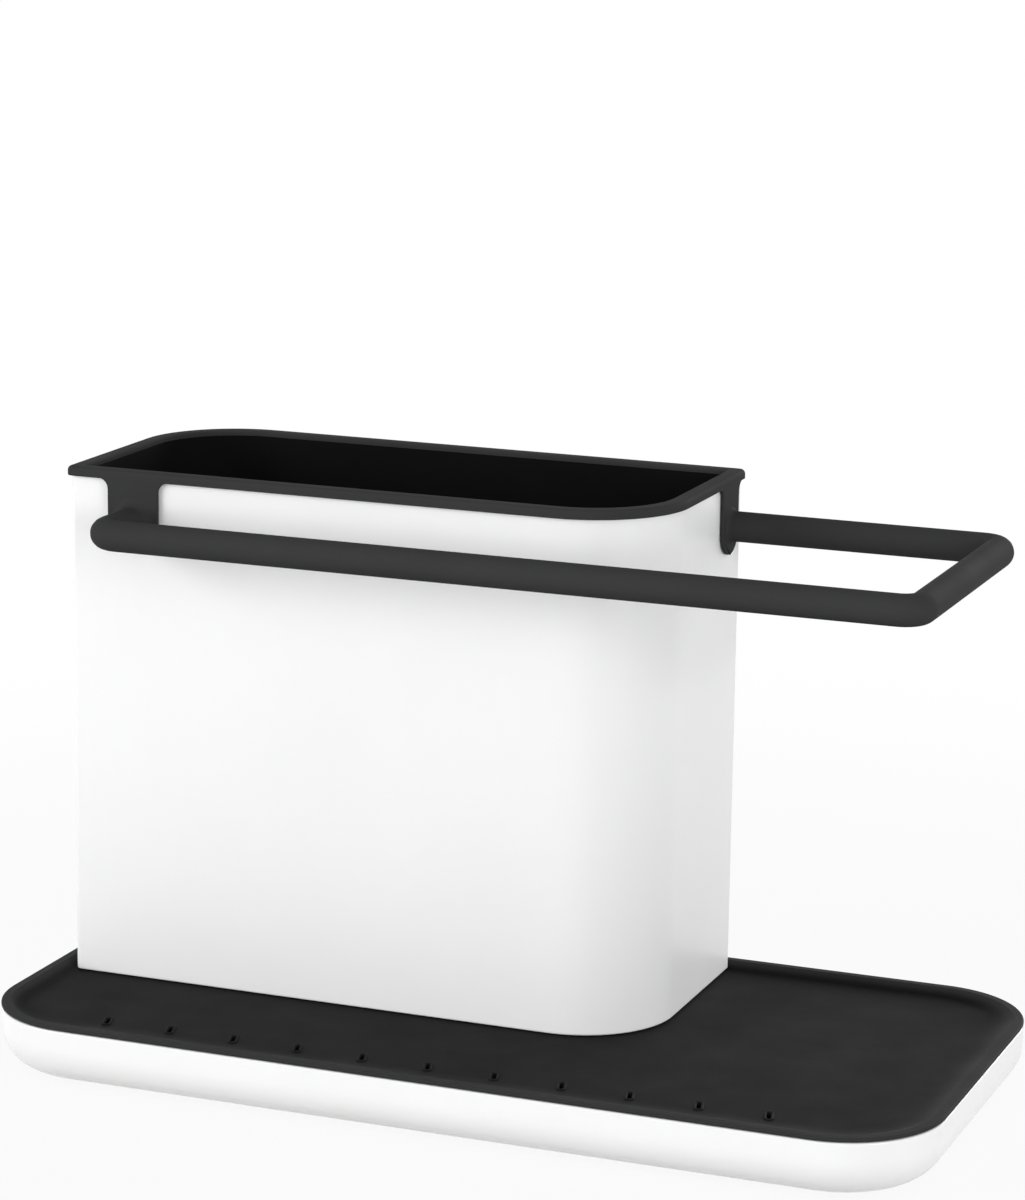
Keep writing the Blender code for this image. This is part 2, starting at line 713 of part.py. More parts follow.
def build():
    clear_scene()
    parts = new_group("sink_caddy")
    cutters = new_group("cutters")

    base = build_base_tray(parts, cutters)
    feet = build_feet(parts)
    tray = build_drip_tray(parts, cutters)
    container = build_container(parts, cutters)
    liner = build_inner_liner(parts, cutters)
    divider = build_divider(parts)
    frame = build_rim_frame(parts, cutters)
    rail = build_towel_rail(parts)

    finish(base, new_material("white_gloss", (0.86, 0.86, 0.85), 0.22))
    for foot in feet:
        finish(foot, new_material(foot.name + "_rubber", (0.10, 0.10, 0.10), 0.85))
    finish(tray, new_material("tray_charcoal", (0.028, 0.028, 0.029), 0.42))
    finish(container, new_material("container_white", (0.84, 0.84, 0.83), 0.30))
    finish(liner, new_material("liner_charcoal", (0.018, 0.018, 0.019), 0.50))
    finish(divider, new_material("divider_charcoal", (0.022, 0.022, 0.023), 0.50))
    finish(frame, new_material("frame_charcoal", (0.034, 0.034, 0.036), 0.40))
    finish(rail, new_material("rail_charcoal", (0.034, 0.034, 0.036), 0.40))

    middle_x = (RIM_PLAN.left + RIM_PLAN.right) / 2
    middle_y = (RIM_PLAN.front + RIM_PLAN.back) / 2
    tray_seat = new_seat("tray_seat", (0, 0, FLANGE_Z), None, parts)
    container_seat = new_seat("container_seat", (middle_x, middle_y, CONTAINER_Z), tray_seat, parts)
    liner_seat = new_seat("liner_seat", (middle_x, middle_y, LINER_Z), container_seat, parts)
    divider_seat = new_seat("divider_seat", (DIVIDER_X, middle_y, DIVIDER_Z), liner_seat, parts)
    frame_seat = new_seat("frame_seat", (middle_x, middle_y, RIM_UNDER_Z), liner_seat, parts)
    seat_piece(tray, tray_seat)
    seat_piece(container, container_seat)
    seat_piece(liner, liner_seat)
    seat_piece(divider, divider_seat)
    seat_piece(frame, frame_seat)
    seat_piece(rail, frame_seat)


build()
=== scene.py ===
# %% [markdown]
# # A sink caddy in charcoal and white
#
# The caddy stands beside a sink. A white tray carries a charcoal drip tray. A tall white container with
# a charcoal lining stands on it, and a charcoal frame on top of the container holds out a towel rail.
#
# Its parts and joints come from a finished CAD model. This lesson loads that model as a fixed frame,
# builds a finer piece in the place of each CAD part, gives it a finish, and then sets up its picture.

# %% Load the frame
import math

import bmesh
import bpy
from mathutils import Matrix, Vector


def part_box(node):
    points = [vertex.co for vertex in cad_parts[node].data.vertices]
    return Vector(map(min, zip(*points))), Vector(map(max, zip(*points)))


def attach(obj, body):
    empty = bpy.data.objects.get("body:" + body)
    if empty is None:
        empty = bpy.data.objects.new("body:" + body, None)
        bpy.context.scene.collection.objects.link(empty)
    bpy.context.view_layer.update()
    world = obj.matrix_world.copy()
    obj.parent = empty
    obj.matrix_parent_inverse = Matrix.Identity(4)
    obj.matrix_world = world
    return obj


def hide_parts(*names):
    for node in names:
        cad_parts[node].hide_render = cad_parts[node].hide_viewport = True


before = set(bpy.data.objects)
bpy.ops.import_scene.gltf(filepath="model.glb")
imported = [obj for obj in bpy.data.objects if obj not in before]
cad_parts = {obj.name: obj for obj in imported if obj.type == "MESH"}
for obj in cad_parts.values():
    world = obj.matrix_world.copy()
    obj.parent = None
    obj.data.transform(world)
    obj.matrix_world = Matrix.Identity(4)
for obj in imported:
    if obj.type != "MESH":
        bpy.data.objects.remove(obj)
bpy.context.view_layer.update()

MM = 0.001

# %% [markdown]
# ## The camera
#
# The photograph's straight edges give the camera: where it stands, how it is turned, and how long its
# lens is. A long lens from a metre away keeps the container's uprights almost parallel. The lens is worked
# out from the focal length in pixels, because Blender spreads its 36 mm sensor over the longer side.

# %% Place the camera
IMAGE_HEIGHT = 1200
SENSOR = 36.0
FOCAL_PIXELS = 3942.6
YAW = math.radians(21.213)
PITCH = math.radians(12.343)
ROLL = math.radians(0.792)
DISTANCE = 1066.607 * MM
AIM = Vector((0, 0, 55.9)) * MM
AIM_ACROSS = -0.24 * MM
AIM_UP = 74.108 * MM
NEAREST_SEEN = 10 * MM

level = Vector((math.cos(YAW), math.sin(YAW), 0))
forward = Matrix.Rotation(YAW, 3, "Z") @ Vector((0, math.cos(PITCH), -math.sin(PITCH)))
upright = level.cross(forward)
right = level * math.cos(ROLL) + upright * math.sin(ROLL)
up = upright * math.cos(ROLL) - level * math.sin(ROLL)
eye = AIM + right * AIM_ACROSS + up * AIM_UP - forward * DISTANCE

camera = bpy.data.objects.new("camera", bpy.data.cameras.new("camera"))
camera.data.lens = FOCAL_PIXELS * SENSOR / IMAGE_HEIGHT
camera.data.sensor_width = SENSOR
camera.data.clip_start = NEAREST_SEEN
camera.matrix_world = Matrix.Translation(eye) @ Matrix((right, up, -forward)).transposed().to_4x4()
bpy.context.scene.collection.objects.link(camera)
bpy.context.scene.camera = camera
print("camera at", [round(value, 3) for value in eye], "with a", round(camera.data.lens, 1), "mm lens")

# %% [markdown]
# ## The studio
#
# The photograph is a catalogue picture: soft light from all round, a white ground and hardly a shadow.
# Soft light on every side could come from many lamps. One pale world does most of it here, and four
# large lamps add direction, so that the round corner and the rail keep their shape: a key from the front
# left, a weak one straight in front, a fill from the right and one behind. What the camera and the
# reflections see of the world is plain white. Light Path tells those rays from the ones that light.

# %% Light the world
AMBIENT = 0.49
DAYLIGHT = (0.98, 0.99, 1.0, 1)
WHITE = (1, 1, 1, 1)
SEEN_RAYS = ("Is Camera Ray", "Is Glossy Ray", "Is Transmission Ray")


def seen_by_eye(nodes, links):
    """A socket that is 1 for what the camera sees, straight or in a reflection, and 0 for light."""
    path = nodes.new("ShaderNodeLightPath")
    total = None
    for ray in SEEN_RAYS:
        if total is None:
            total = path.outputs[ray]
            continue
        either = nodes.new("ShaderNodeMath")
        either.operation = "MAXIMUM"
        links.new(total, either.inputs[0])
        links.new(path.outputs[ray], either.inputs[1])
        total = either.outputs[0]
    return total


world = bpy.data.worlds.new("studio")
world.use_nodes = True
bpy.context.scene.world = world
nodes, links = world.node_tree.nodes, world.node_tree.links
lighting = nodes["Background"]
lighting.inputs["Color"].default_value = DAYLIGHT
lighting.inputs["Strength"].default_value = AMBIENT
shown = nodes.new("ShaderNodeBackground")
shown.inputs["Color"].default_value = WHITE
either = nodes.new("ShaderNodeMixShader")
links.new(seen_by_eye(nodes, links), either.inputs["Fac"])
links.new(lighting.outputs[0], either.inputs[1])
links.new(shown.outputs[0], either.inputs[2])
links.new(either.outputs[0], nodes["World Output"].inputs["Surface"])
print("ambient light:", AMBIENT)

# %% Hang the lamps
LOOK_AT = Vector((0, 0, 80)) * MM
# each lamp: where it hangs in metres, the side of its square in metres, and its watts
LAMPS = {
    "key": ((-1.35, -1.1, 0.52), 1.0, 19.5),
    "front": ((0.4, -1.8, 0.5), 0.8, 3.5),
    "fill": ((1.5, -0.8, 0.42), 0.8, 13.5),
    "back": ((0.5, 1.7, 0.65), 1.0, 11),
}

for name, (place, size, watts) in LAMPS.items():
    lamp = bpy.data.lights.new(name, "AREA")
    lamp.shape = "SQUARE"
    lamp.size = size
    lamp.energy = watts
    holder = bpy.data.objects.new(name + "_lamp", lamp)
    holder.location = place
    holder.rotation_euler = (LOOK_AT - Vector(place)).to_track_quat("-Z", "Y").to_euler()
    bpy.context.scene.collection.objects.link(holder)
    print(name, "lamp:", watts, "W at", place)

bpy.context.scene.view_settings.view_transform = "Standard"

# %% [markdown]
# ## The ground
#
# The caddy stands on a plain pale sheet. If the sheet were only bright, its far edge would draw a line
# across the picture. So what the eye sees is a mix: near the caddy a small share of it is real matt
# paper, which takes a soft shadow, and further off it turns into the same white as the world. Light that
# bounces up meets the paper alone. Its tone is a middle grey, so that the tray's curl and the foot of the
# container grow a little darker downwards, as they do in the photograph.

# %% Lay the ground
GROUND_HALF = 4.0
SHADOW_SHARE = 0.08
FADE_FROM = 0.18
FADE_TO = 0.55
PAPER_TONE = (0.55, 0.55, 0.55, 1)
PAPER_ROUGHNESS = 0.9

ground_mesh = bpy.data.meshes.new("ground")
corners = [(side_x * GROUND_HALF, side_y * GROUND_HALF, 0) for side_x in (-1, 1) for side_y in (-1, 1)]
ground_mesh.from_pydata(corners, [], [(0, 2, 3, 1)])
ground = bpy.data.objects.new("ground", ground_mesh)
bpy.context.scene.collection.objects.link(ground)

paper = bpy.data.materials.new("ground_paper")
paper.use_nodes = True
nodes, links = paper.node_tree.nodes, paper.node_tree.links
sheet = nodes["Principled BSDF"]
sheet.inputs["Base Color"].default_value = PAPER_TONE
sheet.inputs["Roughness"].default_value = PAPER_ROUGHNESS
glow = nodes.new("ShaderNodeEmission")
coordinates = nodes.new("ShaderNodeTexCoord")
from_caddy = nodes.new("ShaderNodeVectorMath")
from_caddy.operation = "LENGTH"
links.new(coordinates.outputs["Object"], from_caddy.inputs[0])
fade = nodes.new("ShaderNodeMapRange")
fade.interpolation_type = "SMOOTHSTEP"
fade.inputs["From Min"].default_value = FADE_FROM
fade.inputs["From Max"].default_value = FADE_TO
fade.inputs["To Min"].default_value = 1 - SHADOW_SHARE
fade.inputs["To Max"].default_value = 1
links.new(from_caddy.outputs["Value"], fade.inputs["Value"])
whiteness = nodes.new("ShaderNodeMath")
whiteness.operation = "MULTIPLY"
links.new(fade.outputs["Result"], whiteness.inputs[0])
links.new(seen_by_eye(nodes, links), whiteness.inputs[1])
blend = nodes.new("ShaderNodeMixShader")
links.new(whiteness.outputs[0], blend.inputs["Fac"])
links.new(sheet.outputs[0], blend.inputs[1])
links.new(glow.outputs[0], blend.inputs[2])
links.new(blend.outputs[0], nodes["Material Output"].inputs["Surface"])
ground_mesh.materials.append(paper)
print("ground fades to white between", FADE_FROM, "and", FADE_TO, "m")

# %% [markdown]
# ## Moulded plastic
#
# Every piece is injection moulded. A mould's polish decides the finish: a polished mould leaves a gloss
# with a very slight ripple, and a spark-eroded one leaves a fine even grain. Both could be painted as
# pictures, but a picture has an end and a seam. Noise in the shader has neither, and it reads Object
# coordinates, so the grain keeps its real size on every piece.

# %% A helper for moulded finishes
PATTERN_MIDDLE = (0.3, 0.7)
FLOW_PER_M, FLOW_DETAIL = 24, 3
HANDLING_PER_M, HANDLING_DETAIL = 60, 4
RIPPLE_DETAIL, GRAIN_DETAIL = 1, 2


def noise(nodes, links, coordinates, features_per_m, detail):
    """A noise pattern of a real size on Object coordinates."""
    pattern = nodes.new("ShaderNodeTexNoise")
    pattern.inputs["Scale"].default_value = features_per_m
    pattern.inputs["Detail"].default_value = detail
    links.new(coordinates.outputs["Object"], pattern.inputs["Vector"])
    return pattern.outputs["Fac"]


def between(nodes, links, source, low, high):
    """Spreads a pattern's middle range over two values."""
    spread = nodes.new("ShaderNodeMapRange")
    spread.inputs["From Min"].default_value = PATTERN_MIDDLE[0]
    spread.inputs["From Max"].default_value = PATTERN_MIDDLE[1]
    spread.inputs["To Min"].default_value = low
    spread.inputs["To Max"].default_value = high
    links.new(source, spread.inputs["Value"])
    return spread.outputs["Result"]


def bump(nodes, links, coordinates, waves, detail):
    """Waves in the surface. They come as (waves per metre, depth in metres)."""
    per_m, depth = waves
    raised = nodes.new("ShaderNodeBump")
    raised.inputs["Distance"].default_value = depth
    links.new(noise(nodes, links, coordinates, per_m, detail), raised.inputs["Height"])
    return raised


def moulded(name, light, dark, roughness, grain, ripple):
    """A moulded plastic: two close tones, a span of roughness, a fine grain and a broad ripple."""
    material = bpy.data.materials.new(name)
    material.use_nodes = True
    nodes, links = material.node_tree.nodes, material.node_tree.links
    shader = nodes["Principled BSDF"]
    coordinates = nodes.new("ShaderNodeTexCoord")

    flow = noise(nodes, links, coordinates, FLOW_PER_M, FLOW_DETAIL)
    tones = nodes.new("ShaderNodeMix")
    tones.data_type = "RGBA"
    tones.inputs["A"].default_value = (*dark, 1)
    tones.inputs["B"].default_value = (*light, 1)
    links.new(between(nodes, links, flow, 0, 1), tones.inputs["Factor"])
    links.new(tones.outputs["Result"], shader.inputs["Base Color"])

    handling = noise(nodes, links, coordinates, HANDLING_PER_M, HANDLING_DETAIL)
    links.new(between(nodes, links, handling, *roughness), shader.inputs["Roughness"])

    broad = bump(nodes, links, coordinates, ripple, RIPPLE_DETAIL)
    fine = bump(nodes, links, coordinates, grain, GRAIN_DETAIL)
    links.new(broad.outputs["Normal"], fine.inputs["Normal"])
    links.new(fine.outputs["Normal"], shader.inputs["Normal"])
    print(name, "tones", light, dark, "roughness", roughness)
    return material


print("one cloud of tone is about", round(1 / FLOW_PER_M / MM), "mm wide")

# %% [markdown]
# ### White
#
# The tray's white is glossy and the container's is satin. White plastic lets a little light in before it
# sends it back, which is why its edges look soft. A small subsurface weight does that, and the base
# colour stays a little below white, as titanium white in plastic does.

# %% The two whites
SOFT_WEIGHT = 0.12
SOFT_COLOURS = (1.0, 0.95, 0.9)
SOFT_DEPTH = 1.2 * MM

gloss_white = moulded(
    "gloss_white", light=(0.87, 0.87, 0.865), dark=(0.855, 0.855, 0.85),
    roughness=(0.17, 0.25), grain=(2500, 2e-6), ripple=(180, 8e-6),
)
satin_white = moulded(
    "satin_white", light=(0.86, 0.86, 0.855), dark=(0.845, 0.845, 0.84),
    roughness=(0.34, 0.44), grain=(3600, 6e-6), ripple=(150, 8e-6),
)
for white in (gloss_white, satin_white):
    shader = white.node_tree.nodes["Principled BSDF"]
    shader.inputs["Subsurface Weight"].default_value = SOFT_WEIGHT
    shader.inputs["Subsurface Radius"].default_value = SOFT_COLOURS
    shader.inputs["Subsurface Scale"].default_value = SOFT_DEPTH

# %% [markdown]
# ### Charcoal
#
# The dark pieces are coloured through, so their edges are as dark as their faces. The frame and the
# rail are the lightest, the drip tray is darker, and the lining is the darkest. All three are close to
# matt. Seen at a flat angle, even a rough plastic mirrors some of the white room, which would turn the
# top of the frame grey. A darker tone would hide that there, and make every other face too dark. A very
# low specular level keeps the sheen quiet on all sides.

# %% The charcoals
frame_charcoal = moulded(
    "frame_charcoal", light=(0.0415, 0.0415, 0.0425), dark=(0.037, 0.037, 0.038),
    roughness=(0.56, 0.64), grain=(5200, 7e-6), ripple=(260, 8e-6),
)
tray_charcoal = moulded(
    "tray_charcoal", light=(0.0125, 0.0125, 0.013), dark=(0.0108, 0.0108, 0.0113),
    roughness=(0.56, 0.66), grain=(4600, 9e-6), ripple=(200, 8e-6),
)
liner_charcoal = moulded(
    "liner_charcoal", light=(0.0062, 0.0062, 0.0066), dark=(0.005, 0.005, 0.0054),
    roughness=(0.6, 0.7), grain=(4200, 9e-6), ripple=(160, 8e-6),
)
SHEEN = ((frame_charcoal, 0.008), (tray_charcoal, 0.03), (liner_charcoal, 0.02))
for charcoal, specular in SHEEN:
    shader = charcoal.node_tree.nodes["Principled BSDF"]
    shader.inputs["Specular IOR Level"].default_value = specular
    print(charcoal.name, "specular level", specular)

# %% [markdown]
# The drip tray's border is painted a little lighter than the floor. This is a painted sheen: the border's
# slope mirrors the white room at a flat angle, and a lighter tone stands in for that reflection. Vertex
# colours could say where that is. The height on Object coordinates does it without them, and it goes
# along with the tray when the tray is lifted.

# %% Paint a sheen on the tray's border
# a painted sheen: a lighter tone on the raised border that stands in for reflected light
PAINTED_SHEEN_TONE = (0.033, 0.033, 0.0345)
PAINTED_SHEEN_FROM = 16.3 * MM
PAINTED_SHEEN_TO = 18.3 * MM

nodes, links = tray_charcoal.node_tree.nodes, tray_charcoal.node_tree.links
shader = nodes["Principled BSDF"]
place = nodes.new("ShaderNodeSeparateXYZ")
links.new(nodes["Texture Coordinate"].outputs["Object"], place.inputs[0])
height = nodes.new("ShaderNodeMapRange")
height.interpolation_type = "SMOOTHSTEP"
height.inputs["From Min"].default_value = PAINTED_SHEEN_FROM
height.inputs["From Max"].default_value = PAINTED_SHEEN_TO
links.new(place.outputs["Z"], height.inputs["Value"])
# this mix paints the sheen on the border, more of it the higher the surface lies
painted_sheen = nodes.new("ShaderNodeMix")
painted_sheen.data_type = "RGBA"
links.new(height.outputs["Result"], painted_sheen.inputs["Factor"])
links.new(shader.inputs["Base Color"].links[0].from_socket, painted_sheen.inputs["A"])
painted_sheen.inputs["B"].default_value = (*PAINTED_SHEEN_TONE, 1)
links.new(painted_sheen.outputs["Result"], shader.inputs["Base Color"])
print("the border is rubbed lighter from", PAINTED_SHEEN_FROM / MM, "mm up")

# %% [markdown]
# ### Rubber
#
# The pads under the tray are soft rubber. Charcoal plastic would be close in colour, but rubber is more
# matt and its grain is coarser and softer. The same helper makes it, with other numbers.

# %% The rubber
foot_rubber = moulded(
    "foot_rubber", light=(0.035, 0.035, 0.036), dark=(0.026, 0.026, 0.027),
    roughness=(0.72, 0.88), grain=(1800, 2e-5), ripple=(300, 1e-5),
)

# %% [markdown]
# ## Outlines and sections
#
# A moulded box is a stack of outlines. Seen from above, each outline is a rounded rectangle. The section
# through the wall says how far in and how high each one lies. This could be drawn with Bevel modifiers,
# but their widths meet at corners and fail where a corner is tight. A stack has exact radii everywhere.

# %% Rounded rectangles
CORNER_STEPS = 20
LEAST_RADIUS = 1.2 * MM
TRAY_CORNER = 28 * MM


class Plan:
    """A rounded rectangle seen from above. Its radii run front left, front right, back right, back left."""

    def __init__(self, left, front, right, back, radii):
        self.left, self.front, self.right, self.back = left, front, right, back
        self.radii = radii

    def inset(self, depth):
        """The same outline, moved inwards."""
        radii = [max(radius - depth, LEAST_RADIUS) for radius in self.radii]
        low = (self.left + depth, self.front + depth)
        return Plan(*low, self.right - depth, self.back - depth, radii)

    def points(self):
        """The outline, anticlockwise, with the same count of points at each corner."""
        corners = ((self.left, self.front, 1, 1), (self.right, self.front, -1, 1))
        corners += ((self.right, self.back, -1, -1), (self.left, self.back, 1, -1))
        line = []
        for quarter, ((x, y, inward_x, inward_y), radius) in enumerate(zip(corners, self.radii)):
            for step in range(CORNER_STEPS + 1):
                angle = math.pi / 2 * (quarter + 2 + step / CORNER_STEPS)
                across = x + radius * (inward_x + math.cos(angle))
                along = y + radius * (inward_y + math.sin(angle))
                line.append((across, along))
        return line


def plan_of(node, radii):
    """The plan that a CAD node fills."""
    low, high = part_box(node)
    return Plan(low.x, low.y, high.x, high.y, radii)


tray_plan = plan_of("base_tray", [TRAY_CORNER] * 4)
print("tray outline:", len(tray_plan.points()), "points")

# %% Softened corners
STEPS_AT_LEAST = 3


def softened(corners, closed=False):
    """A bent line with rounded corners. A corner is (x, y, radius), and a larger one gets more steps."""
    line = []
    for index, (x, y, radius) in enumerate(corners):
        here = Vector((x, y))
        at_end = not closed and index in (0, len(corners) - 1)
        if at_end or radius == 0:
            line.append(here)
            continue
        towards = (here - Vector(corners[index - 1][:2])).normalized()
        away = (Vector(corners[(index + 1) % len(corners)][:2]) - here).normalized()
        turn = towards.angle(away)
        side = (away - towards * towards.dot(away)).normalized()
        start = here - towards * radius * math.tan(turn / 2)
        steps = STEPS_AT_LEAST + round(radius / MM)
        for step in range(steps + 1):
            angle = turn * step / steps
            line.append(start + (towards * math.sin(angle) + side * (1 - math.cos(angle))) * radius)
    return line


rounded = softened([(0, 0, 0), (0, 10 * MM, 5 * MM), (10 * MM, 10 * MM, 0)])
print("a right angle with a radius of 5 mm takes", len(rounded) - 2, "points")


# %% Skins
def skin(name, rings, band=False):
    """A closed solid through a stack of rings. Flat faces close it, or a band's two ends meet."""
    work = bmesh.new()
    rows = [[work.verts.new(point) for point in ring] for ring in rings]
    pairs = list(zip(rows, rows[1:]))
    if band:
        pairs.append((rows[-1], rows[0]))
    else:
        work.faces.new(rows[0][::-1])
        work.faces.new(rows[-1])
    count = len(rings[0])
    for lower, upper in pairs:
        for index in range(count):
            after = (index + 1) % count
            work.faces.new((lower[index], lower[after], upper[after], upper[index]))
    mesh = bpy.data.meshes.new(name)
    work.to_mesh(mesh)
    work.free()
    piece = bpy.data.objects.new(name, mesh)
    bpy.context.scene.collection.objects.link(piece)
    return piece


def moulding(name, plan, section, band=False):
    """Skins a wall's section round a plan. A corner of the section is (inset, height, radius)."""
    rings = []
    for inset, height in softened(section, closed=band):
        rings.append([(x, y, height) for x, y in plan.inset(inset).points()])
    return skin(name, rings, band)


print("a wall's outline has", 4 * (CORNER_STEPS + 1), "points at every height")

# %% [markdown]
# ## Cutting, joining and finishing
#
# Holes could be left open while a mesh is built, but then each needs its own ring of faces. Boolean
# modifiers cut any shape through any wall, and their result is kept as a plain mesh at once. At the end
# a piece is shaded smooth except at real edges, and its normals are weighted by area. That keeps a large
# flat face flat beside its rounded edge, where plain smoothing would leave a grey smear.

# %% Cut and join
def plain(piece):
    """Keeps what the modifiers make as the piece's own mesh."""
    bpy.context.view_layer.update()
    ready = piece.evaluated_get(bpy.context.evaluated_depsgraph_get())
    mesh = bpy.data.meshes.new_from_object(ready)
    piece.modifiers.clear()
    piece.data = mesh


def combine(piece, tool, operation):
    """Joins a tool to a piece, or cuts it away, and removes the tool."""
    change = piece.modifiers.new("change", "BOOLEAN")
    change.operation = operation
    change.solver = "EXACT"
    change.object = tool
    plain(piece)
    bpy.data.objects.remove(tool)


# %% Finish a piece
WELD = 0.001 * MM
SMOOTH_BELOW = math.radians(34)
FLAT_FACE_WEIGHT = 100


def finish_piece(piece, material, body, nodes):
    """Shades a piece, paints it, and puts it in the frame in the place of its CAD nodes."""
    piece.data.materials.clear()
    piece.data.materials.append(material)
    work = bmesh.new()
    work.from_mesh(piece.data)
    bmesh.ops.remove_doubles(work, verts=work.verts, dist=WELD)
    work.to_mesh(piece.data)
    open_edges = sum(not edge.is_manifold for edge in work.edges)
    volume = work.calc_volume(signed=True) / MM**3
    work.free()
    piece.data.shade_smooth()
    piece.data.set_sharp_from_angle(angle=SMOOTH_BELOW)
    weighted = piece.modifiers.new("flat faces", "WEIGHTED_NORMAL")
    weighted.keep_sharp = True
    weighted.weight = FLAT_FACE_WEIGHT
    plain(piece)
    piece.data.name = piece.name
    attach(piece, body)
    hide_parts(*nodes)
    triangles = sum(len(face.vertices) - 2 for face in piece.data.polygons)
    print(piece.name, triangles, "triangles,", open_edges, "open edges,", round(volume), "mm3")


print("edges that turn by", round(math.degrees(SMOOTH_BELOW)), "degrees or more stay sharp")

# %% [markdown]
# ## Recipes for what repeats
#
# Feet, holes and slots repeat. An Array modifier could copy each of them, but its sizes are bare offsets.
# A Geometry Nodes tree is a recipe whose sizes have names, and one number changes a whole row. The small
# helper below writes such a tree node by node and runs it on an object. Each recipe ends by making its
# instances real and giving them a material, and what it makes is kept as a plain mesh.

# %% A helper for recipes
SOCKETS = {
    int: "NodeSocketInt", float: "NodeSocketFloat", bpy.types.Object: "NodeSocketObject",
    bpy.types.Material: "NodeSocketMaterial",
}


class Recipe:
    """A Geometry Nodes tree with named inputs."""

    def __init__(self, name, sizes):
        self.tree = bpy.data.node_groups.new(name, "GeometryNodeTree")
        self.sizes = sizes
        self.keys = {}
        sides = self.tree.interface
        sides.new_socket("Geometry", in_out="INPUT", socket_type="NodeSocketGeometry")
        sides.new_socket("Geometry", in_out="OUTPUT", socket_type="NodeSocketGeometry")
        for size, value in sizes.items():
            socket = sides.new_socket(size, in_out="INPUT", socket_type=SOCKETS[type(value)])
            self.keys[size] = socket.identifier
        self.given = self.tree.nodes.new("NodeGroupInput").outputs
        self.result = self.tree.nodes.new("NodeGroupOutput").inputs["Geometry"]

    def node(self, kind, feeds, output=0, **settings):
        """Adds a node, feeds its inputs with sockets or plain values, and returns one of its outputs."""
        node = self.tree.nodes.new(kind)
        for setting, value in settings.items():
            setattr(node, setting, value)
        for key, value in feeds.items():
            if isinstance(value, bpy.types.NodeSocket):
                self.tree.links.new(value, node.inputs[key])
            else:
                node.inputs[key].default_value = value
        return node.outputs[output]

    def reckon(self, operation, first, second=0.0):
        """One step of arithmetic on two sockets or numbers."""
        return self.node("ShaderNodeMath", {0: first, 1: second}, operation=operation)

    def serve(self, geometry, name, start=None):
        """Ends the tree, runs it on an object, and keeps the result as a plain mesh."""
        real = self.node("GeometryNodeRealizeInstances", {"Geometry": geometry})
        painted = self.node("GeometryNodeSetMaterial", {"Geometry": real, "Material": self.given["Finish"]})
        self.tree.links.new(painted, self.result)
        piece = bpy.data.objects.new(name, start or bpy.data.meshes.new(name))
        bpy.context.scene.collection.objects.link(piece)
        cooking = piece.modifiers.new("recipe", "NODES")
        cooking.node_group = self.tree
        for size, value in self.sizes.items():
            cooking[self.keys[size]] = value
        plain(piece)
        print("recipe", self.tree.name, "made", len(piece.data.polygons), "faces")
        return piece


print("a recipe takes", len(SOCKETS), "kinds of input")

# %% [markdown]
# ## The feet
#
# Four soft pads sit in shallow pockets under the tray. A cylinder with bevels would look the same from
# the side, but a rubber foot is slightly hollow underneath, so that it stands on a ring. So one pad is
# turned, like wood on a lathe: its half outline is spun round an upright line. A recipe then sets one at
# each corner of a rectangle.

# %% Turn one pad
TURN_STEPS = 48
PAD_HOLLOW = 0.25 * MM
PAD_RING = (0.62, 0.70)
PAD_TOP_FLAT = 0.5
PAD_EDGE = 0.2 * MM
PAD_SOLE_EDGE = 0.4 * MM
foot_low, foot_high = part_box("foot_front_left")
far_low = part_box("foot_back_right")[0]
foot_radius = (foot_high.x - foot_low.x) / 2
foot_top = foot_high.z


def turned(name, corners):
    """A solid of revolution from a half outline that starts and ends on the axis."""
    spin = [math.tau * step / TURN_STEPS for step in range(TURN_STEPS)]
    rings = []
    for across, height in softened(corners)[1:-1]:
        rings.append([(across * math.cos(angle), across * math.sin(angle), height) for angle in spin])
    return skin(name, rings)


pad = turned("pad", [
    (0, PAD_HOLLOW, 0), (foot_radius * PAD_RING[0], PAD_HOLLOW, PAD_EDGE),
    (foot_radius * PAD_RING[1], 0, PAD_EDGE), (foot_radius, 0, PAD_SOLE_EDGE),
    (foot_radius, foot_top, PAD_EDGE), (foot_radius * PAD_TOP_FLAT, foot_top, 0), (0, foot_top, 0),
])
print("pad radius", round(foot_radius / MM, 2), "mm")

# %% Set four pads
FOOT_SPACING = {"Spacing across": far_low.x - foot_low.x, "Spacing along": far_low.y - foot_low.y}


def at_points(recipe, grid, shape):
    """One shape at each point of a grid."""
    points = recipe.node("GeometryNodeMeshToPoints", {"Mesh": grid})
    return recipe.node("GeometryNodeInstanceOnPoints", {"Points": points, "Instance": shape})


def at_four_corners(recipe, shape):
    """One shape at each corner of a rectangle with the recipe's two spacings."""
    grid = recipe.node("GeometryNodeMeshGrid", {
        "Size X": recipe.given["Spacing across"], "Size Y": recipe.given["Spacing along"],
        "Vertices X": 2, "Vertices Y": 2,
    })
    return at_points(recipe, grid, shape)


four = Recipe("four_pads", {"Pad": pad, **FOOT_SPACING, "Finish": foot_rubber})
one = four.node("GeometryNodeObjectInfo", {"Object": four.given["Pad"]}, output="Geometry")
feet = four.serve(at_four_corners(four, one), "feet")
bpy.data.objects.remove(pad)
foot_nodes = [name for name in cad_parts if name.startswith("foot_")]
finish_piece(feet, foot_rubber, "base", foot_nodes)

# %% [markdown]
# ## The base tray
#
# The white tray is one thin wall all round. Outside, it curls under in a wide radius, which is what makes
# it look like a soft boat from the side. A box with a Solidify modifier could give it a wall, but the lip
# would stay square. So a section goes round the plan: from the underside, round that curl, up the wall,
# over the lip and down inside to the floor.

# %% Mould the base tray
BASE_WALL = 1.6 * MM
BASE_FLOOR = 1.8 * MM
BASE_CURL = 11 * MM
BASE_FLAT_FROM = 16 * MM
SOFT_EDGE = 0.5 * MM
base_under, base_rim = (corner.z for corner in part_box("base_tray"))

